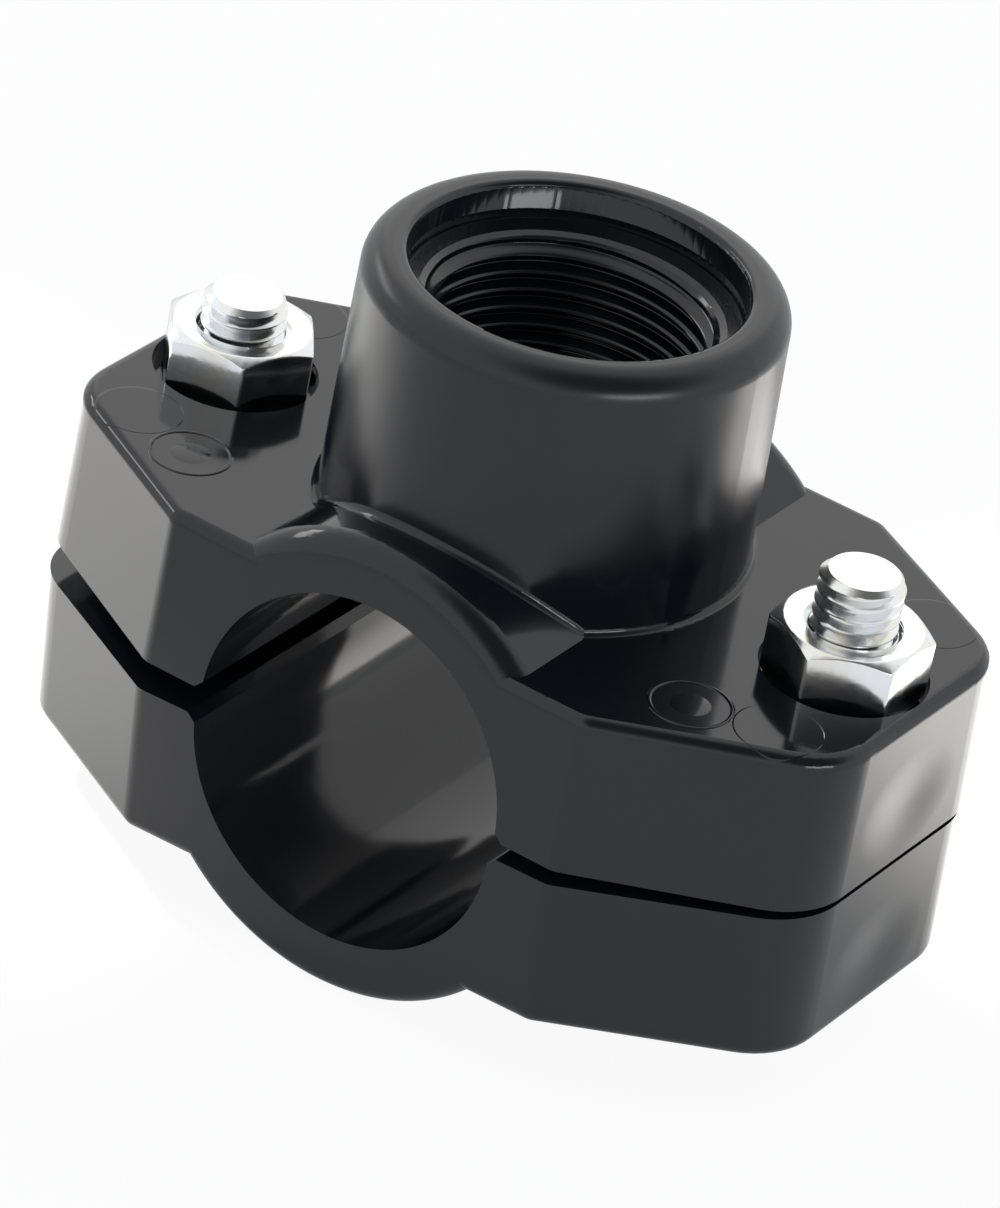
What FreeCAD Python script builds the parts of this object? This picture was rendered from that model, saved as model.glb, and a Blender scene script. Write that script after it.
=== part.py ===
# Tapping saddle for a 32 mm pipe with a 3/4 inch female outlet.
# Axes: +X from bolt to bolt, +Y along the pipe, +Z up the outlet.
# The origin is on the pipe's axis, under the middle of the outlet. Units are millimetres.
import FreeCAD, Part
import math
import os

os.makedirs("parts", exist_ok=True)
V = FreeCAD.Vector
UP = V(0, 0, 1)
ALONG = V(0, 1, 0)

# Driving dimensions of the body
pipe_d = 32.0  # outside of the pipe it clamps
ring_wall = 5.4  # wall of the ring round the pipe
saddle_length = 50.6  # along the pipe, at the parting plane
bolt_spacing = 66.8  # from bolt axis to bolt axis
ear_end = 8.9  # from a bolt's axis to the end face, at the parting plane
ear_end_width = 28.0  # of the flat end face, before its corners are rounded
ear_shoulder = 0.9  # from the ring's side to where the ear starts to narrow
upper_ear_height = 15.5
lower_ear_height = 15.0
side_draft_deg = 2.0  # both halves are widest at the parting plane
end_draft_deg = 0.8  # of the end faces
corner_r = 8.0  # plan corners at the end faces
shoulder_r = 2.0  # plan corners where the ears start to narrow
edge_r = 1.2  # outer edges of the ears and of the lower ring
arch_edge_r = 2.5  # outer edges of the upper ring
root_r = 0.7  # where the outlet, the ring and the ears meet
bore_lead = 0.8  # chamfer along the bore at the parting plane

# Driving dimensions of the outlet
outlet_height = 41.2  # mouth above the pipe's axis
thread_major_d = 26.441  # 3/4 inch parallel pipe thread
thread_floor = 5.9  # from the pipe to the bottom of the thread
mouth_d = 30.6  # smooth recess over the thread
mouth_depth = 3.5
mouth_lead = 0.8  # cone between the recess and the thread
rim_width = 3.9  # from the recess to the outside of the boss
rim_r = 2.6  # round on the outside of the rim
mouth_edge_r = 0.6
boss_draft_deg = 1.2

# Driving dimensions of the seal round the passage
seal_margin = 2.7  # from the side of the pipe to the seal
seal_width = 2.8
seal_land = 1.0  # wall between the seal's groove and the passage
seal_thickness = 2.2
seal_fit = 0.05  # between the seal and its groove

# Driving dimensions of the bolts and nuts, M8
bolt_d = 8.0
bolt_length = 35.0
hex_flats = 13.0
head_height = 5.3
nut_height = 6.5
hex_chamfer_deg = 30.0
hex_face_d = 12.6  # round end face of a nut or head
bolt_tip = 0.6  # chamfer on the end of the thread
nut_countersink = 0.5
thread_fit = 0.05  # radial, between bolt and nut
upper_hole_d = 9.0
lower_hole_d = 9.6  # wider, because the lower half rocks on the bolts
head_pocket_depth = 7.1
pocket_clearance = 0.4  # each side of the bolt's head
nut_recess_depth = 1.6
nut_recess_clearance = 0.2  # round the nut's corners
seat_fit = 0.02  # under a nut and over a bolt's head
head_turn_deg = 30.0  # direction of a corner from +X
left_nut_turn_deg = 7.0
right_nut_turn_deg = 30.0

# The slack, tilted pose in which the saddle is stored
slack_gap = 1.4  # between the halves, over the edge that the lower half tilts on
slack_tilt_deg = 1.9  # left end down

# Derived values
bore_r = pipe_d / 2
ring_r = bore_r + ring_wall
half_length = saddle_length / 2
bolt_x = bolt_spacing / 2
end_x = bolt_x + ear_end
shoulder_x = ring_r + ear_shoulder
side_taper = math.tan(math.radians(side_draft_deg))
end_taper = math.tan(math.radians(end_draft_deg))
hex_corner_r = hex_flats / 2 / math.cos(math.pi / 6)
nut_recess_r = hex_corner_r + nut_recess_clearance
nut_seat_z = upper_ear_height - nut_recess_depth
mouth_r = mouth_d / 2
boss_top_r = mouth_r + rim_width
boss_taper = math.tan(math.radians(boss_draft_deg))
thread_r = thread_major_d / 2
thread_top_z = outlet_height - mouth_depth - mouth_lead
thread_bottom_z = bore_r + thread_floor
seal_outer_r = bore_r - seal_margin
seal_inner_r = seal_outer_r - seal_width
passage_r = seal_inner_r - seal_land
tilt_x = bolt_x - hex_flats / 2
head_seat_depth = lower_ear_height - head_pocket_depth
right_seat_z = -slack_gap - head_seat_depth
left_drop = bolt_spacing * math.sin(math.radians(slack_tilt_deg))
left_seat_z = right_seat_z - left_drop
far = 2 * (end_x + outlet_height)
touch = 1e-4  # nearer than this counts as touching


def cylinder(radius, z0, z1, x=0.0):
    return Part.makeCylinder(radius, z1 - z0, V(x, 0, z0), UP)


def pipe_cylinder(radius):
    return Part.makeCylinder(radius, 2 * far, V(0, -far, 0), ALONG)


def edges_where(shape, test):
    return [edge for edge in shape.Edges if test(edge)]


def is_level(edge, z):
    return abs(edge.BoundBox.ZMin - z) < touch and abs(edge.BoundBox.ZMax - z) < touch


def is_line(edge):
    return edge.Curve.TypeId == "Part::GeomLine"


def prism_along(points, y0, y1):
    """Prism with a plan in X and Z, from y0 to y1."""
    corners = [V(x, y0, z) for x, z in points]
    return Part.Face(Part.makePolygon(corners + corners[:1])).extrude(V(0, y1 - y0, 0))


def bore(y0, y1):
    """Room for the pipe from y0 to y1, with the chamfers along the parting plane."""
    outer_x = bore_r + bore_lead
    inner_x = math.sqrt(bore_r**2 - bore_lead**2)
    right = [(inner_x, -bore_lead), (outer_x, 0), (inner_x, bore_lead)]
    left = [(-x, z) for x, z in reversed(right)]
    room = Part.makeCylinder(bore_r, y1 - y0, V(0, y0, 0), ALONG)
    return room.fuse(prism_along(right + left, y0, y1))


def rounded_outline(points, radii, z):
    """Closed outline through plan points, each corner rounded by its radius."""
    count = len(points)
    entries, exits, middles = [], [], []
    for i in range(count):
        here = V(points[i][0], points[i][1], z)
        before = V(points[i - 1][0], points[i - 1][1], z) - here
        after = V(points[(i + 1) % count][0], points[(i + 1) % count][1], z) - here
        before.normalize()
        after.normalize()
        half = before.getAngle(after) / 2
        back = radii[i] / math.tan(half)
        bisector = before + after
        bisector.normalize()
        entries.append(here + before * back)
        exits.append(here + after * back)
        middles.append(here + bisector * (radii[i] / math.sin(half) - radii[i]))
    edges = []
    for i in range(count):
        edges.append(Part.Arc(entries[i], middles[i], exits[i]).toShape())
        edges.append(Part.makeLine(exits[i], entries[(i + 1) % count]))
    return Part.Wire(edges)


def ear_outline(inset, end_inset, z):
    """Plan of both ears, its long sides moved in by inset and its end faces by end_inset."""
    slope_x = end_x - shoulder_x
    slope_y = half_length - ear_end_width / 2
    length = math.hypot(slope_x, slope_y)
    nx, ny = slope_y / length, slope_x / length
    reach = nx * shoulder_x + ny * half_length - inset
    ys = half_length - inset
    xe = end_x - end_inset
    xs = (reach - ny * ys) / nx
    ye = (reach - nx * xe) / ny
    right = [(xs, -ys), (xe, -ye), (xe, ye), (xs, ys)]
    left = [(-x, -y) for x, y in right]
    small, large = shoulder_r, corner_r - end_inset
    radii = [small, large, large, small, small, large, large, small]
    return rounded_outline(right + left, radii, z)


def ears(height):
    """Ears with draft, from the parting plane up to height, or down to it if negative."""
    rise = abs(height)
    base = ear_outline(0.0, 0.0, 0.0)
    top = ear_outline(rise * side_taper, rise * end_taper, height)
    return Part.makeLoft([base, top], True, True)


def ring(direction, round_r):
    """Half of the ring round the pipe, above or below the parting plane, with drafted faces."""
    top = ring_r + ring_wall
    inset = top * side_taper
    base = [V(-top, -half_length, 0), V(-top, half_length, 0)]
    crest = [V(-top, half_length - inset, direction * top), V(-top, inset - half_length, direction * top)]
    face = Part.Face(Part.makePolygon(base + crest + base[:1]))
    half = face.extrude(V(2 * top, 0, 0)).common(pipe_cylinder(ring_r))
    rims = edges_where(half, lambda e: abs(e.CenterOfMass.z) > ring_wall and not is_line(e))
    return half.makeFillet(round_r, rims)


def hexagon(flats, z0, z1, x, turn_deg):
    """Hexagonal prism with a corner turn_deg from +X."""
    radius = flats / 2 / math.cos(math.pi / 6)
    corners = []
    for k in range(7):
        angle = math.radians(turn_deg + 60 * k)
        corners.append(V(x + radius * math.cos(angle), radius * math.sin(angle), z0))
    return Part.Face(Part.makePolygon(corners)).extrude(V(0, 0, z1 - z0))


def chamfer_cone(z_flat, z_away, x):
    """Cone that takes the corners off a hexagon at the z_flat end."""
    away = abs(z_away - z_flat)
    r0 = hex_face_d / 2
    r1 = r0 + away / math.tan(math.radians(hex_chamfer_deg))
    axis = V(0, 0, math.copysign(1, z_away - z_flat))
    return Part.makeCone(r0, r1, away, V(x, 0, z_flat), axis)


# Upper half
upper = ears(upper_ear_height)
upper = upper.makeFillet(edge_r, edges_where(upper, lambda e: is_level(e, upper_ear_height)))
boss_foot_z = bore_r / 2
boss_height = outlet_height - boss_foot_z
boss_foot_r = boss_top_r + boss_height * boss_taper
boss = Part.makeCone(boss_foot_r, boss_top_r, boss_height, V(0, 0, boss_foot_z), UP)
boss = boss.makeFillet(rim_r, edges_where(boss, lambda e: is_level(e, outlet_height)))
upper = upper.fuse([ring(1, arch_edge_r), boss]).removeSplitter()


def at_boss_foot(edge):
    """True where the outlet meets the ring or an ear."""
    middle = edge.valueAt((edge.FirstParameter + edge.LastParameter) / 2)
    height = outlet_height - middle.z
    off = math.hypot(middle.x, middle.y) - boss_top_r - height * boss_taper
    return abs(off) < 0.01 and boss_foot_z < middle.z < ring_r + 1 and not is_line(edge)


upper = upper.makeFillet(root_r, edges_where(upper, at_boss_foot))

outlet = cylinder(mouth_r, outlet_height - mouth_depth, far)
outlet = outlet.fuse(
    [
        Part.makeCone(thread_r, mouth_r, mouth_lead, V(0, 0, thread_top_z), UP),
        cylinder(thread_r, thread_bottom_z, thread_top_z),
        cylinder(passage_r, 0, thread_bottom_z),
    ]
)
groove = cylinder(seal_outer_r + seal_fit, 0, outlet_height)
groove = groove.cut(cylinder(seal_inner_r - seal_fit, 0, outlet_height))
groove = groove.common(pipe_cylinder(bore_r + seal_thickness + seal_fit))
cuts = [outlet, groove]
for x in (-bolt_x, bolt_x):
    cuts.append(cylinder(upper_hole_d / 2, -far, far, x))
    cuts.append(cylinder(nut_recess_r, nut_seat_z, far, x))
upper = upper.cut(cuts).removeSplitter()
# The bore is cut in two lengths, so its wall is two faces that meet under the outlet
upper = upper.cut([bore(-far, 0), bore(0, far)])
mouth_edges = edges_where(
    upper, lambda e: is_level(e, outlet_height) and abs(e.BoundBox.XMax - mouth_r) < touch
)
upper = upper.makeFillet(mouth_edge_r, mouth_edges)

# Seal in its groove round the passage
seal = cylinder(seal_outer_r, 0, outlet_height).cut(cylinder(seal_inner_r, 0, outlet_height))
seal = seal.common(pipe_cylinder(bore_r + seal_thickness)).cut(pipe_cylinder(bore_r))

# Lower half, first closed against the parting plane
lower = ears(-lower_ear_height)
lower = lower.makeFillet(edge_r, edges_where(lower, lambda e: is_level(e, -lower_ear_height)))
lower = lower.fuse(ring(-1, edge_r)).removeSplitter()
pocket_flats = hex_flats + 2 * pocket_clearance
cuts = [bore(-far, far)]
for x in (-bolt_x, bolt_x):
    cuts.append(cylinder(lower_hole_d / 2, -far, far, x))
    cuts.append(hexagon(pocket_flats, -far, -head_seat_depth, x, head_turn_deg))
lower = lower.cut(cuts).removeSplitter()
# Then let down by the slack and tilted on the inner edge of the right bolt's head
lower.translate(V(0, 0, -slack_gap))
lower.rotate(V(tilt_x, 0, right_seat_z), ALONG, -slack_tilt_deg)


def bolt(x, seat_z):
    top = seat_z - seat_fit
    bottom = top - head_height
    head = hexagon(hex_flats, bottom, top, x, head_turn_deg)
    head = head.common(chamfer_cone(bottom, top, x))
    shank_r = bolt_d / 2 - thread_fit
    shank = cylinder(shank_r, bottom + head_height / 2, seat_z + bolt_length, x)
    tip = edges_where(shank, lambda e: is_level(e, seat_z + bolt_length))
    shank = shank.makeChamfer(bolt_tip, tip)
    return head.fuse(shank).removeSplitter()


def nut(x, turn_deg):
    bottom = nut_seat_z + seat_fit
    top = bottom + nut_height
    middle = (bottom + top) / 2
    blank = hexagon(hex_flats, bottom, top, x, turn_deg)
    upper_part = blank.common(chamfer_cone(top, bottom, x))
    both = upper_part.common(chamfer_cone(bottom, top, x))
    hole_r = bolt_d / 2
    sink_r = hole_r + nut_countersink
    both = both.cut(cylinder(hole_r, -far, far, x))
    both = both.cut(Part.makeCone(sink_r, hole_r, nut_countersink, V(x, 0, bottom), UP))
    upper_sink = V(x, 0, top - nut_countersink)
    return both.cut(Part.makeCone(hole_r, sink_r, nut_countersink, upper_sink, UP))


parts = {
    "upper_half": upper,
    "lower_half": lower,
    "outlet_seal": seal,
    "bolt_left": bolt(-bolt_x, left_seat_z),
    "bolt_right": bolt(bolt_x, right_seat_z),
    "nut_left": nut(-bolt_x, left_nut_turn_deg),
    "nut_right": nut(bolt_x, right_nut_turn_deg),
}
for name, shape in parts.items():
    solid = shape.Solids[0]
    assert len(shape.Solids) == 1 and solid.isValid(), name
    print(name, "volume", round(solid.Volume, 1), "mm3")
    solid.exportStep("parts/" + name + ".step")
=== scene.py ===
# %% [markdown]
# # A tapping saddle, finished for the camera
#
# The saddle clamps round a plastic pipe and gives it a threaded branch. Two moulded halves, a seal, two
# bolts and two nuts came from the construction model, already in their real places and sizes. This
# notebook adds what a solid model leaves out: screw threads, softened hexagons, the marks of the mould,
# and surfaces that catch light the way gloss plastic, bright zinc and rubber do.

# %% Load the frame
import math

import bmesh
import bpy
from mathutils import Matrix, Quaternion, Vector


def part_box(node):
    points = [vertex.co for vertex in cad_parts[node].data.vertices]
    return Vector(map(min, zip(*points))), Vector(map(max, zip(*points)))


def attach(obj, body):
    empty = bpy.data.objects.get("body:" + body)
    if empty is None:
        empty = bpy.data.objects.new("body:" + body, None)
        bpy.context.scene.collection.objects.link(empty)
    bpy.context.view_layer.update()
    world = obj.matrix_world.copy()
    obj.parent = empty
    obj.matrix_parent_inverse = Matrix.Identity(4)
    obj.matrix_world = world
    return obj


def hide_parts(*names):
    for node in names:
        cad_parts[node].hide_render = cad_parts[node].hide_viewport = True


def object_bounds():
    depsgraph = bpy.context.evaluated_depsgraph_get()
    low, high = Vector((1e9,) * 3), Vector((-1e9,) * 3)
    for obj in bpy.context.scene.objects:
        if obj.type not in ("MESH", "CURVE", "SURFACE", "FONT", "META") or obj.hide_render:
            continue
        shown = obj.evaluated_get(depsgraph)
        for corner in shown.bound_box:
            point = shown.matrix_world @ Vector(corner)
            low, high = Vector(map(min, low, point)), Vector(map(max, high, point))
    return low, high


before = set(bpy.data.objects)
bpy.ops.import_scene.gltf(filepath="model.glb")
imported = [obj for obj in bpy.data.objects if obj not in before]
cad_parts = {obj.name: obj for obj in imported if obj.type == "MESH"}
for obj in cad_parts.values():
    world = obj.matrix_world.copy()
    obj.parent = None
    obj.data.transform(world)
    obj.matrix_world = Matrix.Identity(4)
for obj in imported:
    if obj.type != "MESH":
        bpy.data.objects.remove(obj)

MM = 0.001
cad_low, cad_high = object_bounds()
print("solids:", sorted(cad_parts))
print("size in mm:", [round(v / MM, 1) for v in cad_high - cad_low])

# %% [markdown]
# ## Where the camera stands
#
# A product photographer used a long lens and tipped the camera a little, so the outlet leans to the
# right. The view could be set by eye, but the straight edges of the ears fix it much better: the
# distance, the two angles and the lean below all follow from where those edges meet in the picture.

# %% Camera
camera_azimuth_deg = 29.01
camera_elevation_deg = 31.15
camera_lean_deg = 10.64
camera_distance = 722.2 * MM
camera_aim = Vector((-2.59, 1.51, 4.26)) * MM
camera_lens_mm = 237.75
camera_sensor_mm = 36.0
camera_nearest, camera_farthest = 0.01, 20.0


def from_angles(azimuth_deg, elevation_deg):
    """Direction from the object towards something at these angles, azimuth 0 being in front."""
    a, e = math.radians(azimuth_deg), math.radians(elevation_deg)
    return Vector((math.sin(a) * math.cos(e), -math.cos(a) * math.cos(e), math.sin(e)))


def put_in_scene(name, data):
    """A new object in the scene that holds this mesh, lamp or camera."""
    thing = bpy.data.objects.new(name, data)
    bpy.context.scene.collection.objects.link(thing)
    return thing


def stand(thing, place, away_from_aim, lean_deg=0.0):
    """Puts a camera or a lamp in its place, with its back to the direction given."""
    lean = Quaternion((0.0, 0.0, 1.0), math.radians(lean_deg))
    thing.location = place
    thing.rotation_mode = "QUATERNION"
    thing.rotation_quaternion = away_from_aim.to_track_quat("Z", "Y") @ lean


towards_camera = from_angles(camera_azimuth_deg, camera_elevation_deg)
camera = put_in_scene("camera", bpy.data.cameras.new("camera"))
camera.data.sensor_width = camera_sensor_mm
camera.data.lens = camera_lens_mm
camera.data.clip_start, camera.data.clip_end = camera_nearest, camera_farthest
stand(camera, camera_aim + towards_camera * camera_distance, towards_camera, camera_lean_deg)
bpy.context.scene.camera = camera
bpy.context.scene.view_settings.view_transform = "Standard"
print("camera at", [round(v, 3) for v in camera.location])

# %% [markdown]
# ## A helper for node trees
#
# Both materials and Geometry Nodes are built from the same few moves: add a node, feed its sockets,
# and do arithmetic with the results. A small class with those moves keeps each recipe short enough to
# read as one thought. Any value may be a plain number or the output of an earlier node.


# %% Node helper
class Recipe:
    """Adds nodes to one tree. Values may be numbers or outputs of other nodes."""

    def __init__(self, tree):
        self.tree = tree

    def feed(self, socket, value):
        if isinstance(value, bpy.types.NodeSocket):
            self.tree.links.new(value, socket)
        else:
            socket.default_value = value

    def add(self, kind, inputs=None, **settings):
        node = self.tree.nodes.new(kind)
        for name, value in settings.items():
            setattr(node, name, value)
        for key, value in (inputs or {}).items():
            self.feed(node.inputs[key], value)
        return node

    def math(self, operation, *values):
        node = self.add("ShaderNodeMath", operation=operation)
        for socket, value in zip(node.inputs, values):
            self.feed(socket, value)
        return node.outputs[0]

    def remap(self, value, low, high, to_low, to_high, smooth=False):
        kind = "SMOOTHSTEP" if smooth else "LINEAR"
        node = self.add("ShaderNodeMapRange", interpolation_type=kind)
        for socket, number in zip(node.inputs, (value, low, high, to_low, to_high)):
            self.feed(socket, number)
        return node.outputs[0]

    def blend(self, factor, first, second):
        node = self.add("ShaderNodeMix", data_type="RGBA")
        self.feed(node.inputs["Factor"], factor)
        colours = [socket for socket in node.inputs if socket.type == "RGBA"]
        self.feed(colours[0], first)
        self.feed(colours[1], second)
        return next(socket for socket in node.outputs if socket.type == "RGBA")


def new_group(name, kind, inputs, outputs):
    """A node group with named sockets. Inputs are (name, kind of value, default)."""
    tree = bpy.data.node_groups.new(name, kind)
    for label, value_kind, default in inputs:
        socket = tree.interface.new_socket(name=label, in_out="INPUT", socket_type=value_kind)
        if default is not None:
            socket.default_value = default
    for label, value_kind in outputs:
        tree.interface.new_socket(name=label, in_out="OUTPUT", socket_type=value_kind)
    recipe = Recipe(tree)
    return recipe, recipe.add("NodeGroupInput").outputs, recipe.add("NodeGroupOutput").inputs


NUMBER, VECTOR, GEOMETRY = "NodeSocketFloat", "NodeSocketVector", "NodeSocketGeometry"
WHOLE, MATERIAL = "NodeSocketInt", "NodeSocketMaterial"
print("recipe helper ready")

# %% [markdown]
# ## Moulded skin
#
# Gloss plastic copies the polish of its steel mould, but it shrinks as it cools, so its mirror is
# slightly wavy, like the skin of an orange. Handling then leaves faint dull patches. One shader group
# gives both effects from two sizes of noise. It is shared by every material here, each with its own
# scale, because zinc and rubber also vary a little from place to place.

# %% Shared surface effects
skin, given, give = new_group(
    "moulded skin",
    "ShaderNodeTree",
    [("Position", VECTOR, None), ("Wave size", NUMBER, 2.0 * MM), ("Patch size", NUMBER, 14.0 * MM)],
    [("Height", NUMBER), ("Patches", NUMBER)],
)
patch_from, patch_full = 0.38, 0.68


def noise(recipe, position, scale, detail, roughness):
    inputs = {"Vector": position, "Scale": scale, "Detail": detail, "Roughness": roughness}
    return recipe.add("ShaderNodeTexNoise", inputs).outputs["Fac"]


wave_scale = skin.math("DIVIDE", 1.0, given["Wave size"])
patch_scale = skin.math("DIVIDE", 1.0, given["Patch size"])
waves = noise(skin, given["Position"], wave_scale, detail=2.0, roughness=0.4)
patches = noise(skin, given["Position"], patch_scale, detail=4.0, roughness=0.55)
skin.feed(give["Height"], waves)
skin.feed(give["Patches"], skin.remap(patches, patch_from, patch_full, 0.0, 1.0, smooth=True))

scuffs, given, give = new_group(
    "fine scuffs",
    "ShaderNodeTree",
    [("Position", VECTOR, None), ("Length", NUMBER, 4.0 * MM), ("Width", NUMBER, 0.08 * MM)],
    [("Lines", NUMBER)],
)
scuff_angle = 0.6
scuff_from, scuff_full = 0.58, 0.74
across = scuffs.math("DIVIDE", 1.0, given["Width"])
along = scuffs.math("DIVIDE", 1.0, given["Length"])
stretch = scuffs.add("ShaderNodeCombineXYZ", {"X": along, "Y": across, "Z": across}).outputs[0]
turned = scuffs.add(
    "ShaderNodeVectorRotate",
    {"Vector": given["Position"], "Angle": scuff_angle},
    rotation_type="Z_AXIS",
).outputs[0]
laid = scuffs.add("ShaderNodeVectorMath", {0: turned, 1: stretch}, operation="MULTIPLY").outputs[0]
streaks = noise(scuffs, laid, 1.0, detail=2.0, roughness=0.5)
scuffs.feed(give["Lines"], scuffs.remap(streaks, scuff_from, scuff_full, 0.0, 1.0))
print("groups:", [group.name for group in bpy.data.node_groups])

# %% [markdown]
# ## Gloss plastic
#
# The halves are a blue-black polypropylene, almost a mirror. What reads as grey in the picture is mostly
# the bright room seen in the surface, so the base colour is very dark. The ears are polished and the
# round outlet is left satin, as a turned mould insert leaves it. What is too shallow for the solid lives
# in the bump. The ejector pins leave a hair-thin circle near each corner of the ears. The end faces are
# sunk, because thick plastic shrinks most. And the wall of the recess in the mouth flares a little, down
# to a level floor, which is what lets its back catch the light.


# %% Material helpers
def start_material(name):
    """An empty material, with its recipe, its shader and the position on the piece."""
    material = bpy.data.materials.new(name)
    material.use_nodes = True
    material.node_tree.nodes.clear()
    recipe = Recipe(material.node_tree)
    output = recipe.add("ShaderNodeOutputMaterial")
    shader = recipe.add("ShaderNodeBsdfPrincipled")
    recipe.feed(output.inputs["Surface"], shader.outputs["BSDF"])
    position = recipe.add("ShaderNodeTexCoord").outputs["Object"]
    return material, recipe, shader, position


def use_group(recipe, source, inputs):
    """Places a shared group in a material and gives its outputs."""
    node = recipe.add("ShaderNodeGroup")
    node.node_tree = source.tree
    for key, value in inputs.items():
        recipe.feed(node.inputs[key], value)
    return node.outputs


def distance_to(recipe, position, centre, scale=(1.0, 1.0, 1.0)):
    """Distance of each point from a centre, after stretching each axis by its scale."""
    away = recipe.add("ShaderNodeVectorMath", {0: position, 1: centre}, operation="SUBTRACT")
    scaled = recipe.add("ShaderNodeVectorMath", {0: away.outputs[0], 1: scale}, operation="MULTIPLY")
    return recipe.add("ShaderNodeVectorMath", {0: scaled.outputs[0]}, operation="LENGTH").outputs["Value"]


def bump(recipe, height, rise, normal=None, **settings):
    """Lifts the shading by the rise where height is 1, on top of an earlier bump."""
    inputs = {"Strength": 1.0, "Distance": rise, "Height": height}
    if normal is not None:
        inputs["Normal"] = normal
    return recipe.add("ShaderNodeBump", inputs, **settings).outputs["Normal"]


print("material helpers ready")

# %% Plastic colour and shine
plastic_colour = (0.0050, 0.0058, 0.0085, 1.0)
plastic_worn = (0.0095, 0.0100, 0.0130, 1.0)
polished, satin, scuffed = 0.10, 0.27, 0.27
plastic_ior = 1.49
dullness_between_scuffs = 0.25
wear_share = 0.5
outlet_inside_r, outlet_outside_r = 16.6 * MM, 20.0 * MM
outlet_foot_z, outlet_wall_z = 19.0 * MM, 25.0 * MM

plastic, recipe, shader, position = start_material("gloss blue-black plastic")
surface = use_group(recipe, skin, {"Position": position, "Wave size": 6.0 * MM, "Patch size": 16.0 * MM})
marks = use_group(recipe, scuffs, {"Position": position})
split = recipe.add("ShaderNodeSeparateXYZ", {0: position}).outputs
from_axis = distance_to(recipe, position, (0.0, 0.0, 0.0), (1.0, 1.0, 0.0))
beyond_mouth = recipe.math("GREATER_THAN", from_axis, outlet_inside_r)
near_axis = recipe.math("MULTIPLY", beyond_mouth, recipe.math("LESS_THAN", from_axis, outlet_outside_r))
high_up = recipe.remap(split["Z"], outlet_foot_z, outlet_wall_z, 0.0, 1.0, smooth=True)
on_outlet = recipe.math("MULTIPLY", near_axis, high_up)
roughness = recipe.remap(on_outlet, 0.0, 1.0, polished, satin)
lines = recipe.remap(marks["Lines"], 0.0, 1.0, dullness_between_scuffs, 1.0)
dulled = recipe.math("MULTIPLY", surface["Patches"], lines)
worn = recipe.math("MULTIPLY", dulled, wear_share)
rougher = recipe.math("MAXIMUM", roughness, recipe.remap(dulled, 0.0, 1.0, 0.0, scuffed))
recipe.feed(shader.inputs["Base Color"], recipe.blend(worn, plastic_colour, plastic_worn))
recipe.feed(shader.inputs["Roughness"], rougher)
shader.inputs["IOR"].default_value = plastic_ior
print("plastic shine:", polished, "to", scuffed)

# %% Traces of the mould
wave_height = 0.015 * MM
pin_place = Vector((34.8, 12.9, 15.5)) * MM
pin_r = 4.1 * MM
pin_line = 0.16 * MM
pin_mark_height = 0.05 * MM
pin_skin = 1.0 * MM
mirrored = recipe.add("ShaderNodeVectorMath", {0: position}, operation="ABSOLUTE").outputs[0]
from_pin = distance_to(recipe, mirrored, pin_place)
pin_step = recipe.remap(from_pin, pin_r - pin_line, pin_r, 1.0, 0.0, smooth=True)
on_ear_top = recipe.math("GREATER_THAN", split["Z"], pin_place.z - pin_skin)
pin_step = recipe.math("MULTIPLY", pin_step, on_ear_top)

ear_end_x = cad_high.x
sink_depth = 0.35 * MM
sink_heights = (5.8 * MM, -10.2 * MM)
sink_stretch = Vector((1 / 8.0, 1 / 8.0, 1 / 5.6)) / MM
both_ends = recipe.add(
    "ShaderNodeCombineXYZ", {"X": recipe.math("ABSOLUTE", split["X"]), "Y": split["Y"], "Z": split["Z"]}
).outputs[0]
hollows = 0.0
for middle_z in sink_heights:
    reach = distance_to(recipe, both_ends, Vector((ear_end_x, 0.0, middle_z)), sink_stretch)
    hollows = recipe.math("ADD", hollows, recipe.remap(reach, 0.0, 1.0, 1.0, 0.0, smooth=True))
wavy = bump(recipe, surface["Height"], wave_height)
pinned = bump(recipe, pin_step, pin_mark_height, wavy)
sunk = bump(recipe, hollows, sink_depth, pinned, invert=True)
print("sinks of the end faces at z", [round(z / MM, 1) for z in sink_heights], "mm")

# %% Flare of the mouth
recess_top_z, recess_step_z, recess_floor_z = 40.8 * MM, 38.5 * MM, 37.7 * MM
recess_wall_r, recess_corner_r, lead_r = 15.3 * MM, 15.1 * MM, 13.8 * MM
# How far the shading stands in from the solid, in millimetres
wall_flare, wall_curve, floor_fill, corner_fill = 0.62, 0.16, 0.49, 0.3
bore_fade_z = 26.0 * MM
depth = recipe.remap(split["Z"], recess_step_z, recess_top_z, 1.0, 0.0)
slope = recipe.math("MULTIPLY", depth, wall_flare)
curve = recipe.math("MULTIPLY", recipe.math("MULTIPLY", depth, depth), wall_curve)
flare = recipe.math("ADD", slope, curve)
level = recipe.remap(from_axis, lead_r, recess_corner_r, floor_fill - corner_fill, -corner_fill)
corner_rise = recipe.remap(from_axis, recess_corner_r, recess_wall_r, 0.0, corner_fill)
mouth_shape = recipe.math("ADD", flare, recipe.math("ADD", level, corner_rise))
in_bore = recipe.math("LESS_THAN", from_axis, outlet_inside_r)
near_mouth = recipe.remap(split["Z"], bore_fade_z, recess_floor_z, 0.0, 1.0, smooth=True)
in_mouth = recipe.math("MULTIPLY", in_bore, near_mouth)
flared = bump(recipe, recipe.math("MULTIPLY", mouth_shape, in_mouth), MM, sunk)
recipe.feed(shader.inputs["Normal"], flared)
print("plastic:", len(recipe.tree.nodes), "nodes")

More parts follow.
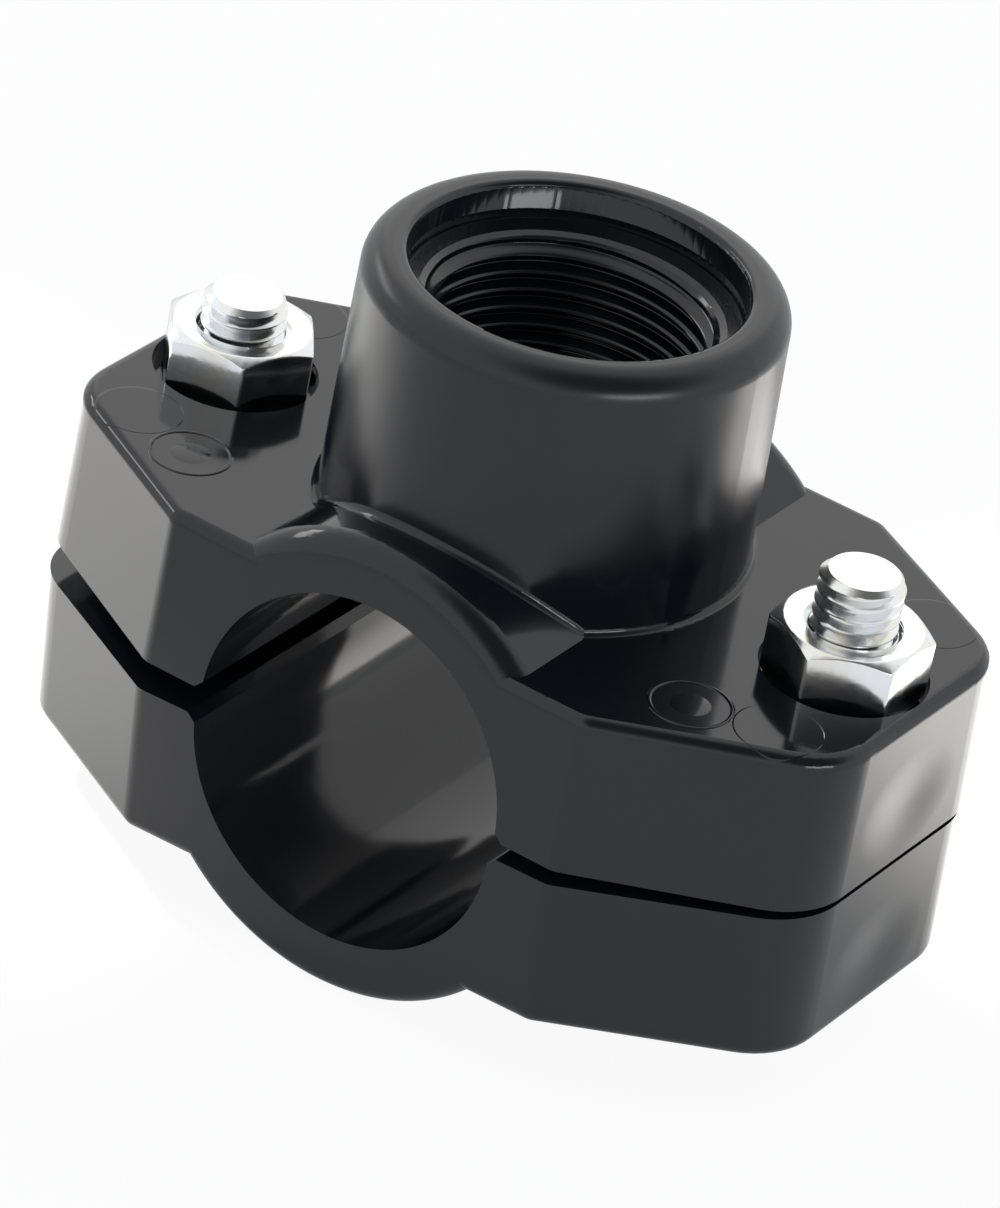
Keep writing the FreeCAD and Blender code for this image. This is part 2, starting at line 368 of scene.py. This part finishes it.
# %% [markdown]
# ## Bright zinc
#
# The bolts and nuts are steel with a thin bright zinc coat. It is nearly white, faintly blue in some
# places and straw-coloured in others, and a little cloudy, so it blurs what it mirrors. Full metallic
# with two close tints and an uneven roughness gives that better than any single grey.

# %% Zinc material
zinc_blue = (0.86, 0.88, 0.90, 1.0)
zinc_straw = (0.84, 0.83, 0.79, 1.0)
zinc_clear, zinc_cloudy = 0.13, 0.28
zinc_grain_height = 0.008 * MM
zinc, recipe, shader, position = start_material("bright zinc on steel")
surface = use_group(recipe, skin, {"Position": position, "Wave size": 0.6 * MM, "Patch size": 4.0 * MM})
marks = use_group(recipe, scuffs, {"Position": position, "Length": 1.6 * MM, "Width": 0.05 * MM})
recipe.feed(shader.inputs["Base Color"], recipe.blend(surface["Patches"], zinc_blue, zinc_straw))
cloud = recipe.math("ADD", surface["Patches"], marks["Lines"])
recipe.feed(shader.inputs["Roughness"], recipe.remap(cloud, 0.0, 2.0, zinc_clear, zinc_cloudy))
shader.inputs["Metallic"].default_value = 1.0
recipe.feed(shader.inputs["Normal"], bump(recipe, surface["Height"], zinc_grain_height))
print("zinc:", len(recipe.tree.nodes), "nodes")

# %% [markdown]
# ## Moulded rubber
#
# The seal between the pipe and the upper half is soft black rubber. It hardly shines, and its skin has
# the fine tooth of a sand-blasted mould with a trace of grey bloom on it.

# %% Rubber material
rubber_colour = (0.026, 0.026, 0.027, 1.0)
rubber_bloom = (0.060, 0.060, 0.060, 1.0)
rubber_smooth, rubber_bloomed = 0.62, 0.78
rubber_tooth_height = 0.03 * MM
rubber, recipe, shader, position = start_material("moulded rubber")
surface = use_group(recipe, skin, {"Position": position, "Wave size": 0.25 * MM, "Patch size": 5.0 * MM})
recipe.feed(shader.inputs["Base Color"], recipe.blend(surface["Patches"], rubber_colour, rubber_bloom))
dullness = recipe.remap(surface["Patches"], 0.0, 1.0, rubber_smooth, rubber_bloomed)
recipe.feed(shader.inputs["Roughness"], dullness)
recipe.feed(shader.inputs["Normal"], bump(recipe, surface["Height"], rubber_tooth_height))
print("rubber:", len(recipe.tree.nodes), "nodes")

# %% [markdown]
# ## Dressing the solids
#
# The two halves and the seal already have their true shape, with their rounds and drafts, so they stay
# as they are and only take their new finish. Remodelling them would add nothing that light can show.

# %% Finish the moulded solids
finishes = {"upper_half": plastic, "lower_half": plastic, "outlet_seal": rubber}
for name, material in finishes.items():
    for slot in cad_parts[name].material_slots:
        slot.material = material
    print(name, "is now", material.name)

# %% [markdown]
# ## One recipe for every screw thread
#
# A thread is one groove wound round and round. It could be a profile swept along a spiral, but the ends
# of a sweep stop dead, while a real thread runs out. Here a flat sheet of rows is rolled into a tube whose
# rows climb one pitch a turn, and each row takes the radius that the thread has at that point of its
# profile. The depth fades to nothing at both ends. The same tree makes the bolts, where the rows stand out
# from a core, and the outlet, where they stand in from a wall.

# %% Sheet of rows
ROWS_A_TURN = 16.0
CLOSING_ROWS = 4.0
thread, given, give = new_group(
    "screw thread",
    "GeometryNodeTree",
    [
        ("Root radius", NUMBER, 3.3 * MM),
        ("Crest radius", NUMBER, 3.95 * MM),
        ("Inner radius", NUMBER, 0.0),
        ("Pitch", NUMBER, 1.25 * MM),
        ("Start", NUMBER, 0.0),
        ("Length", NUMBER, 30.0 * MM),
        ("Run-in", NUMBER, 0.6 * MM),
        ("Run-out", NUMBER, 0.6 * MM),
        ("Axis X", NUMBER, 0.0),
        ("Turns", WHOLE, 24),
        ("Sides", WHOLE, 40),
        ("Softness", NUMBER, 0.0),
        ("Finish", MATERIAL, None),
    ],
    [("Geometry", GEOMETRY)],
)
rows = thread.math("ADD", thread.math("MULTIPLY", given["Turns"], ROWS_A_TURN), ROWS_A_TURN)
row_count = thread.math("ADD", rows, CLOSING_ROWS)
columns = thread.math("ADD", given["Sides"], 1.0)
sheet = thread.add("GeometryNodeMeshGrid", {"Vertices X": columns, "Vertices Y": row_count})
index = thread.add("GeometryNodeInputIndex").outputs[0]
column = thread.math("FLOOR", thread.math("DIVIDE", thread.math("ADD", index, 0.5), row_count))
row = thread.math("SUBTRACT", index, thread.math("MULTIPLY", column, row_count))
turn = thread.math("DIVIDE", column, given["Sides"])
angle = thread.math("MULTIPLY", turn, 2 * math.pi)
print("rows a turn:", ROWS_A_TURN)

# %% Climb of the rows
step = thread.math("SUBTRACT", row, 1.0)
climb = thread.math("SUBTRACT", thread.math("DIVIDE", step, ROWS_A_TURN), 1.0)
lift = thread.math("MULTIPLY", thread.math("ADD", climb, turn), given["Pitch"])
top = thread.math("ADD", given["Start"], given["Length"])
free_z = thread.math("ADD", given["Start"], lift)
row_z = thread.math("MINIMUM", thread.math("MAXIMUM", free_z, given["Start"]), top)
print("thread tree so far:", len(thread.tree.nodes), "nodes")

# %% Profile of the thread
CREST_ROWS, FLANK_ROWS, SOFT_FLANK_ROWS = 1, 6, 7
phase = thread.math("FRACT", thread.math("DIVIDE", step, ROWS_A_TURN))
from_crest = thread.math("MINIMUM", phase, thread.math("SUBTRACT", 1.0, phase))
straight = thread.remap(from_crest, CREST_ROWS / ROWS_A_TURN, FLANK_ROWS / ROWS_A_TURN, 1.0, 0.0)
curved = thread.remap(from_crest, 0.0, SOFT_FLANK_ROWS / ROWS_A_TURN, 1.0, 0.0, smooth=True)
profile = thread.add("ShaderNodeMix", {0: given["Softness"], 2: straight, 3: curved}, data_type="FLOAT")
depth = profile.outputs[0]
from_start = thread.math("DIVIDE", thread.math("SUBTRACT", row_z, given["Start"]), given["Run-in"])
from_end = thread.math("DIVIDE", thread.math("SUBTRACT", top, row_z), given["Run-out"])
depth = thread.math("MINIMUM", depth, thread.math("MINIMUM", from_start, from_end))
reach = thread.math("SUBTRACT", given["Crest radius"], given["Root radius"])
wall = thread.math("ADD", given["Root radius"], thread.math("MULTIPLY", depth, reach))
print("rows from crest to root:", FLANK_ROWS, "or, when soft,", SOFT_FLANK_ROWS)

# %% Ends of the tube
# The first row and the last two lie at the inner radius and close the tube
first = thread.math("LESS_THAN", row, 0.5)
closing = thread.math("GREATER_THAN", row, thread.math("ADD", rows, 1.5))
wrap = thread.math("GREATER_THAN", row, thread.math("ADD", rows, 2.5))
inner = thread.math("MAXIMUM", first, closing)
outside = thread.math("SUBTRACT", 1.0, inner)
radius = thread.math(
    "ADD", thread.math("MULTIPLY", wall, outside), thread.math("MULTIPLY", given["Inner radius"], inner)
)
at_top = thread.math("SUBTRACT", closing, wrap)
end_z = thread.math("ADD", given["Start"], thread.math("MULTIPLY", given["Length"], at_top))
z = thread.math("ADD", thread.math("MULTIPLY", row_z, outside), thread.math("MULTIPLY", end_z, inner))
x = thread.math("ADD", given["Axis X"], thread.math("MULTIPLY", radius, thread.math("COSINE", angle)))
y = thread.math("MULTIPLY", radius, thread.math("SINE", angle))
place = thread.add("ShaderNodeCombineXYZ", {"X": x, "Y": y, "Z": z})
print("thread tree so far:", len(thread.tree.nodes), "nodes")

# %% Rolled, closed and dressed
same_point = 0.002 * MM
rolled = thread.add(
    "GeometryNodeSetPosition", {"Geometry": sheet.outputs["Mesh"], "Position": place.outputs[0]}
)
closed = thread.add(
    "GeometryNodeMergeByDistance", {"Geometry": rolled.outputs["Geometry"], "Distance": same_point}
)
hollow = thread.add(
    "FunctionNodeCompare",
    {"A": given["Inner radius"], "B": given["Root radius"]},
    data_type="FLOAT",
    operation="GREATER_THAN",
)
outward = thread.add(
    "GeometryNodeFlipFaces", {"Mesh": closed.outputs["Geometry"], "Selection": hollow.outputs["Result"]}
)
real = thread.add("GeometryNodeRealizeInstances", {"Geometry": outward.outputs["Mesh"]})
dressed = thread.add(
    "GeometryNodeSetMaterial", {"Geometry": real.outputs["Geometry"], "Material": given["Finish"]}
)
thread.feed(give["Geometry"], dressed.outputs["Geometry"])
print("thread tree:", len(thread.tree.nodes), "nodes")


# %% Grow a mesh from a tree
def shade_with_creases(mesh, crease_deg):
    """Smooth shading, with sharp edges where faces meet at more than this angle."""
    mesh.shade_smooth()
    mesh.set_sharp_from_angle(angle=math.radians(crease_deg))


def grow(name, source, sizes, finish, crease_deg=40.0):
    """Runs a geometry tree with these sizes and keeps the result as a plain mesh object."""
    piece = put_in_scene(name, bpy.data.meshes.new(name))
    modifier = piece.modifiers.new(name, "NODES")
    modifier.node_group = source.tree
    sizes = dict(sizes, Finish=finish)
    for item in source.tree.interface.items_tree:
        if item.in_out == "INPUT" and item.name in sizes:
            modifier[item.identifier] = sizes[item.name]
    evaluated = piece.evaluated_get(bpy.context.evaluated_depsgraph_get())
    mesh = bpy.data.meshes.new_from_object(evaluated)
    piece.modifiers.remove(modifier)
    piece.data = mesh
    mesh.materials.clear()
    mesh.materials.append(finish)
    shade_with_creases(mesh, crease_deg)
    print(name, len(mesh.polygons), "faces")
    return piece


# %% [markdown]
# ## The outlet's thread
#
# The branch takes a 3/4 inch pipe fitting: 14 turns to the inch, about 1.8 mm apart. In moulded plastic
# the crests and roots are rounded, and the first and last turns run out into the wall. The grooves end
# exactly at the wall of the solid, so the thread only adds the ridges that stand in from it.

# %% Outlet thread
pipe_thread_pitch = 25.4 / 14 * MM
pipe_thread_root_r = 13.21 * MM
pipe_thread_crest_r = 12.06 * MM
pipe_thread_bottom = 22.0 * MM
pipe_thread_top = 36.9 * MM
pipe_thread_wall = 0.2 * MM
thread_length = pipe_thread_top - pipe_thread_bottom
outlet_thread = grow(
    "outlet_thread",
    thread,
    {
        "Root radius": pipe_thread_root_r,
        "Crest radius": pipe_thread_crest_r,
        "Inner radius": pipe_thread_root_r + pipe_thread_wall,
        "Pitch": pipe_thread_pitch,
        "Start": pipe_thread_bottom,
        "Length": thread_length,
        "Run-in": 2.0 * MM,
        "Run-out": 1.2 * MM,
        "Turns": math.ceil(thread_length / pipe_thread_pitch),
        "Sides": 96,
        "Softness": 1.0,
    },
    plastic,
    crease_deg=60.0,
)
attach(outlet_thread, "upper")
print("turns:", round(thread_length / pipe_thread_pitch, 1))

# %% [markdown]
# ## Softened hexagons
#
# A cold-formed nut has six flats, slightly rounded corners, a 30 degree chamfer that leaves a round
# face, and a countersink where the thread starts. It could be a prism cut by cones, but the cuts leave
# long thin faces. Rings of points round the axis, one ring for each line of the profile, give the same
# shape in clean strips, and every edge then takes a small bevel that catches the light.


# %% Hexagon builder
hex_flats = 13.0 * MM
hex_corner_soft = 0.45 * MM
hex_face_r = 6.3 * MM
hex_slope = math.tan(math.radians(30.0))
edge_soft = 0.09 * MM


def spoke(length, angle):
    """Flat vector of this length and direction."""
    return length * Vector((math.cos(angle), math.sin(angle)))


def hexagon_outline(turn_deg, side_steps=6, corner_steps=4):
    """(angle, radius) of points once round a hexagon with a softened corner at turn_deg."""
    sixth = math.pi / 3
    points = []
    centre_r = (hex_flats / 2 - hex_corner_soft) / math.cos(sixth / 2)
    for k in range(6):
        corner = math.radians(turn_deg) + sixth * k
        for i in range(corner_steps + 1):
            a = corner + sixth * (i / corner_steps - 0.5)
            points.append(spoke(centre_r, corner) + spoke(hex_corner_soft, a))
        start = points[-1]
        end = spoke(centre_r, corner + sixth) + spoke(hex_corner_soft, corner + sixth / 2)
        for i in range(1, side_steps):
            points.append(start.lerp(end, i / side_steps))
    return [(math.atan2(p.y, p.x), p.length) for p in points]


def ring_makers(axis, turn_deg):
    """Two functions that make rings of points round an axis, one round and one six-sided."""
    outline = hexagon_outline(turn_deg)

    def place(angle, radius, z):
        return Vector((axis.x + radius * math.cos(angle), axis.y + radius * math.sin(angle), z))

    def circle(radius, z):
        return [place(a, radius, z) for a, _ in outline]

    def hexagon(z, chamfer=0):
        """The chamfer lifts the corners above z with 1, drops them below z with -1."""
        return [place(a, r, z + chamfer * max(0.0, r - hex_face_r) * hex_slope) for a, r in outline]

    return circle, hexagon


def strips(rings, close_loop):
    """Mesh of quads between rings of points, capped at its ends unless it closes on itself."""
    shape = bmesh.new()
    made = [[shape.verts.new(p) for p in ring] for ring in rings]
    count = len(rings[0])
    pairs = list(zip(made, made[1:])) + ([(made[-1], made[0])] if close_loop else [])
    for low, high in pairs:
        for i in range(count):
            j = (i + 1) % count
            shape.faces.new((low[i], low[j], high[j], high[i]))
    if not close_loop:
        shape.faces.new(list(reversed(made[0])))
        shape.faces.new(made[-1])
    bmesh.ops.recalc_face_normals(shape, faces=shape.faces)
    return shape


def bevel_creases(shape, width, crease_deg=22.0):
    """Rounds every edge sharper than the crease angle and gives their number."""
    shape.normal_update()
    sharp = [
        edge
        for edge in shape.edges
        if len(edge.link_faces) == 2 and edge.calc_face_angle() > math.radians(crease_deg)
    ]
    bmesh.ops.bevel(
        shape, geom=sharp, offset=width, segments=2, profile=0.5, affect="EDGES", clamp_overlap=True
    )
    return len(sharp)


print("hexagon across its corners in mm:", round(2 * max(r for _, r in hexagon_outline(0.0)) / MM, 2))

# %% [markdown]
# ## The nuts
#
# Each nut sits in a round recess in its ear. Its place is read from the box of the solid nut, so the
# two can't drift apart. The left nut was left with a corner nearly along the saddle and the right one
# with a flat there, which is why they catch the light so differently.


# %% Nuts
nut_turn_deg = {"nut_left": 7.0, "nut_right": 30.0}
nut_hole_r = 4.0 * MM
nut_countersink = 0.5 * MM
nut_crease_deg = 50.0


def nut_rings(low, high, axis, turn_deg):
    """Rings from the hole's lower edge, out round the nut and back to the hole's upper edge."""
    circle, hexagon = ring_makers(axis, turn_deg)
    return [
        circle(nut_hole_r, low + nut_countersink),
        circle(nut_hole_r + nut_countersink, low),
        circle(hex_face_r, low),
        hexagon(low, chamfer=1),
        hexagon(high, chamfer=-1),
        circle(hex_face_r, high),
        circle(nut_hole_r + nut_countersink, high),
        circle(nut_hole_r, high - nut_countersink),
    ]


def box_axis(low, high):
    """Where the upright axis of a solid's box stands."""
    return Vector(((low.x + high.x) / 2, (low.y + high.y) / 2))


for name, turn_deg in nut_turn_deg.items():
    low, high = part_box(name)
    axis = box_axis(low, high)
    shape = strips(nut_rings(low.z, high.z, axis, turn_deg), close_loop=True)
    beveled = bevel_creases(shape, edge_soft)
    mesh = bpy.data.meshes.new(name + "_formed")
    shape.to_mesh(mesh)
    shape.free()
    mesh.materials.append(zinc)
    shade_with_creases(mesh, nut_crease_deg)
    nut = put_in_scene(name + "_formed", mesh)
    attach(nut, name)
    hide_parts(name)
    print(name, "at", [round(v / MM, 2) for v in axis], "with", beveled, "soft edges")

# %% [markdown]
# ## The bolts
#
# An M8 bolt has a 1.25 mm pitch and is threaded up to its head. The head is held in a hexagonal pocket
# under the lower half, so only the chamfered tip shows above the nut. Head and thread are one piece of
# steel, so they are joined into one mesh, and the solid bolt behind them is no longer shown.


# %% Bolts
def head_rings(low, high, axis, turn_deg):
    """Rings from the head's chamfered lower face up to the face that the shank leaves."""
    circle, hexagon = ring_makers(axis, turn_deg)
    return [circle(hex_face_r, low), hexagon(low, chamfer=1), hexagon(high), circle(hex_face_r, high)]


bolt_pitch = 1.25 * MM
bolt_crest_r = 3.94 * MM
bolt_root_r = 3.24 * MM
bolt_head_height = 5.3 * MM
bolt_head_turn_deg = 30.0
bolt_crease_deg = 40.0
for name in ("bolt_left", "bolt_right"):
    low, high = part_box(name)
    axis = box_axis(low, high)
    rings = head_rings(low.z, low.z + bolt_head_height, axis, bolt_head_turn_deg)
    shape = strips(rings, close_loop=False)
    bevel_creases(shape, edge_soft)
    start = low.z + bolt_head_height / 2
    shank = grow(
        name + "_formed",
        thread,
        {
            "Root radius": bolt_root_r,
            "Crest radius": bolt_crest_r,
            "Pitch": bolt_pitch,
            "Start": start,
            "Length": high.z - start,
            "Axis X": axis.x,
            "Turns": math.ceil((high.z - start) / bolt_pitch),
        },
        zinc,
    )
    shape.from_mesh(shank.data)
    shape.to_mesh(shank.data)
    shape.free()
    shade_with_creases(shank.data, bolt_crease_deg)
    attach(shank, name)
    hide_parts(name)
    print(name, "tip at", round(high.z / MM, 2), "mm")

# %% [markdown]
# ## Sign places
#
# In front of each nut the ear carries a small round place with a raised rim and a low, plain dome. It
# could be turned like a coin for each ear, but both are alike, so one tree puts a rim and a dome on each
# end of a line.

# %% Sign place tree
signs, given, give = new_group(
    "sign places",
    "GeometryNodeTree",
    [
        ("Spacing", NUMBER, 55.0 * MM),
        ("Y", NUMBER, -15.0 * MM),
        ("Ear top", NUMBER, 15.5 * MM),
        ("Radius", NUMBER, 3.2 * MM),
        ("Bead", NUMBER, 0.2 * MM),
        ("Sunk", NUMBER, 0.1 * MM),
        ("Dome share", NUMBER, 0.6),
        ("Dome flatness", NUMBER, 0.1),
        ("Finish", MATERIAL, None),
    ],
    [("Geometry", GEOMETRY)],
)
rim_steps, bead_steps, dome_steps, dome_rings = 72, 10, 48, 16
half_line = signs.math("DIVIDE", given["Spacing"], -2.0)
base_z = signs.math("SUBTRACT", given["Ear top"], given["Sunk"])
line_start = signs.add("ShaderNodeCombineXYZ", {"X": half_line, "Y": given["Y"], "Z": base_z})
line_step = signs.add("ShaderNodeCombineXYZ", {"X": given["Spacing"]})
ends = signs.add(
    "GeometryNodeMeshLine",
    {"Count": 2, "Start Location": line_start.outputs[0], "Offset": line_step.outputs[0]},
)
path = signs.add("GeometryNodeCurvePrimitiveCircle", {"Resolution": rim_steps, "Radius": given["Radius"]})
wire = signs.add("GeometryNodeCurvePrimitiveCircle", {"Resolution": bead_steps, "Radius": given["Bead"]})
rim = signs.add(
    "GeometryNodeCurveToMesh", {"Curve": path.outputs["Curve"], "Profile Curve": wire.outputs["Curve"]}
)
dome_r = signs.math("MULTIPLY", given["Radius"], given["Dome share"])
ball = signs.add(
    "GeometryNodeMeshUVSphere", {"Segments": dome_steps, "Rings": dome_rings, "Radius": dome_r}
)
flat = signs.add("ShaderNodeCombineXYZ", {"X": 1.0, "Y": 1.0, "Z": given["Dome flatness"]})
dome = signs.add("GeometryNodeTransform", {"Geometry": ball.outputs["Mesh"], "Scale": flat.outputs[0]})
sign = signs.add("GeometryNodeJoinGeometry")
for piece in (rim.outputs["Mesh"], dome.outputs["Geometry"]):
    signs.tree.links.new(piece, sign.inputs["Geometry"])
placed = signs.add(
    "GeometryNodeInstanceOnPoints", {"Points": ends.outputs["Mesh"], "Instance": sign.outputs["Geometry"]}
)
real = signs.add("GeometryNodeRealizeInstances", {"Geometry": placed.outputs["Instances"]})
dressed = signs.add(
    "GeometryNodeSetMaterial", {"Geometry": real.outputs["Geometry"], "Material": given["Finish"]}
)
signs.feed(give["Geometry"], dressed.outputs["Geometry"])
print("sign tree:", len(signs.tree.nodes), "nodes")

# %% Sign places
sign_places = grow(
    "sign_places",
    signs,
    {
        "Spacing": 54.4 * MM,
        "Y": -15.4 * MM,
        "Ear top": pin_place.z,
        "Radius": 3.7 * MM,
        "Bead": 0.30 * MM,
        "Sunk": 0.19 * MM,
        "Dome share": 0.68,
        "Dome flatness": 0.11,
    },
    plastic,
)
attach(sign_places, "upper")

# %% [markdown]
# ## Floor and room
#
# The photograph is a cut-out on white. A pale floor that shows the camera nearly pure white, and still
# takes a soft shadow, comes closest. In mirrors it is greyer, because most of what the plastic shows is
# this room: the upright faces mirror the floor, and they are dark in the photograph. Above the horizon
# the world is white, but for one dark opening high at the front right, like the unlit part of a studio's
# ceiling. The rounded shoulders that turn up towards the camera look into it.

# %% Floor
WHITE = (1.0, 1.0, 1.0, 1.0)
floor_reach = 3.0
floor_grey = (0.88, 0.88, 0.88, 1.0)
floor_white_share = 0.93
floor_mirror_share = 0.35
floor_z = cad_low.z
corners = [(floor_reach * x, floor_reach * y, floor_z) for x, y in ((-1, -1), (1, -1), (1, 1), (-1, 1))]
floor_mesh = bpy.data.meshes.new("floor")
floor_mesh.from_pydata(corners, [], [(0, 1, 2, 3)])
floor = put_in_scene("floor", floor_mesh)
floor_paint = bpy.data.materials.new("pale floor")
floor_paint.use_nodes = True
floor_paint.node_tree.nodes.clear()
recipe = Recipe(floor_paint.node_tree)
matt = recipe.add("ShaderNodeBsdfDiffuse", {"Color": floor_grey})
seen = recipe.add("ShaderNodeLightPath").outputs
straight = recipe.math("MAXIMUM", seen["Is Camera Ray"], seen["Is Transmission Ray"])
to_camera = recipe.math("MULTIPLY", straight, floor_white_share)
to_mirrors = recipe.math("MULTIPLY", seen["Is Glossy Ray"], floor_mirror_share)
share = recipe.math("MAXIMUM", to_camera, to_mirrors)
glow = recipe.add("ShaderNodeEmission", {"Color": WHITE, "Strength": 1.0})
mixed = recipe.add("ShaderNodeMixShader", {0: share, 1: matt.outputs[0], 2: glow.outputs[0]})
floor_output = recipe.add("ShaderNodeOutputMaterial")
recipe.feed(floor_output.inputs["Surface"], mixed.outputs[0])
floor_mesh.materials.append(floor_paint)
print("floor at", round(floor_z / MM, 2), "mm")

# %% World
opening = from_angles(62.0, 52.0)
opening_from, opening_full = 0.60, 0.96
opening_grey = 0.12
room_tint = (0.95, 0.97, 1.0, 1.0)
room_light = 0.80
world = bpy.data.worlds.new("white room")
bpy.context.scene.world = world
world.use_nodes = True
world.node_tree.nodes.clear()
recipe = Recipe(world.node_tree)
seen = recipe.add("ShaderNodeLightPath").outputs
direct = recipe.math("MAXIMUM", seen["Is Camera Ray"], seen["Is Glossy Ray"])
direct = recipe.math("MAXIMUM", direct, seen["Is Transmission Ray"])
way = recipe.add("ShaderNodeTexCoord").outputs["Generated"]
facing = recipe.add("ShaderNodeVectorMath", {0: way, 1: opening}, operation="DOT_PRODUCT").outputs["Value"]
room = recipe.remap(facing, opening_from, opening_full, 1.0, opening_grey, smooth=True)
soft = recipe.add("ShaderNodeBackground", {"Color": room_tint, "Strength": room_light})
white = recipe.add("ShaderNodeBackground", {"Color": WHITE, "Strength": room})
mixed = recipe.add("ShaderNodeMixShader", {0: direct, 1: soft.outputs[0], 2: white.outputs[0]})
world_output = recipe.add("ShaderNodeOutputWorld")
recipe.feed(world_output.inputs["Surface"], mixed.outputs[0])
print("world ready")

# %% [markdown]
# ## Lamps
#
# A black mirror shows its lamps more than it shows itself, so each lamp is placed by what it should draw
# on the plastic. A low key on the right draws the bright spots on the outlet's rim, on its right side
# and in its mouth. A wide, weak box behind is what the tops of the ears mirror. A narrow strip on the
# left draws the bright line along the left ear. The right end and the cut corner on the left mirror
# nothing but the floor, so two spots light just the patches of floor that they see.


# %% Lamps
def softbox(name, azimuth_deg, elevation_deg, distance, width, height, brightness, colour):
    """An area lamp that faces the part. Brightness is that of its face, where 1 is paper white."""
    lamp = bpy.data.lights.new(name, "AREA")
    lamp.shape = "RECTANGLE"
    lamp.size, lamp.size_y = width, height
    lamp.energy = brightness * math.pi * width * height
    lamp.color = colour
    place = from_angles(azimuth_deg, elevation_deg) * distance
    stand(put_in_scene(name, lamp), place, place - part_middle)
    print(name, "watts", round(lamp.energy, 2))


def floor_light(name, place, aim_x, aim_y, spread_deg, brightness, colour):
    """A spot that lights only a patch of floor. Brightness is what it adds to white paper there."""
    lamp = bpy.data.lights.new(name, "SPOT")
    lamp.spot_size, lamp.spot_blend = math.radians(spread_deg), floor_light_blend
    lamp.shadow_soft_size = floor_light_r
    way = Vector(place) - Vector((aim_x, aim_y, floor_z))
    lamp.energy = brightness * math.pi * 4 * math.pi * way.length_squared * way.length / way.z
    lamp.color = colour
    stand(put_in_scene(name, lamp), Vector(place), way)
    print(name, "watts", round(lamp.energy, 2))


part_middle = (cad_low + cad_high) / 2
floor_light_blend, floor_light_r = 0.8, 0.01
softbox(
    "key",
    azimuth_deg=68.0,
    elevation_deg=13.0,
    distance=0.80,
    width=0.46,
    height=0.16,
    brightness=5.0,
    colour=(0.94, 0.97, 1.0),
)
softbox(
    "back",
    azimuth_deg=-151.0,
    elevation_deg=31.0,
    distance=0.90,
    width=0.70,
    height=0.50,
    brightness=0.34,
    colour=(1.0, 0.98, 0.95),
)
softbox(
    "left strip",
    azimuth_deg=-97.0,
    elevation_deg=27.0,
    distance=0.60,
    width=0.30,
    height=0.06,
    brightness=4.0,
    colour=(1.0, 0.99, 0.97),
)
floor_light(
    "right",
    place=(0.22, 0.26, 0.24),
    aim_x=0.058,
    aim_y=0.084,
    spread_deg=16.0,
    brightness=5.4,
    colour=(1.0, 0.96, 0.90),
)
floor_light(
    "left",
    place=(-0.30, 0.02, 0.24),
    aim_x=-0.095,
    aim_y=-0.010,
    spread_deg=22.0,
    brightness=2.7,
    colour=(1.0, 0.97, 0.93),
)
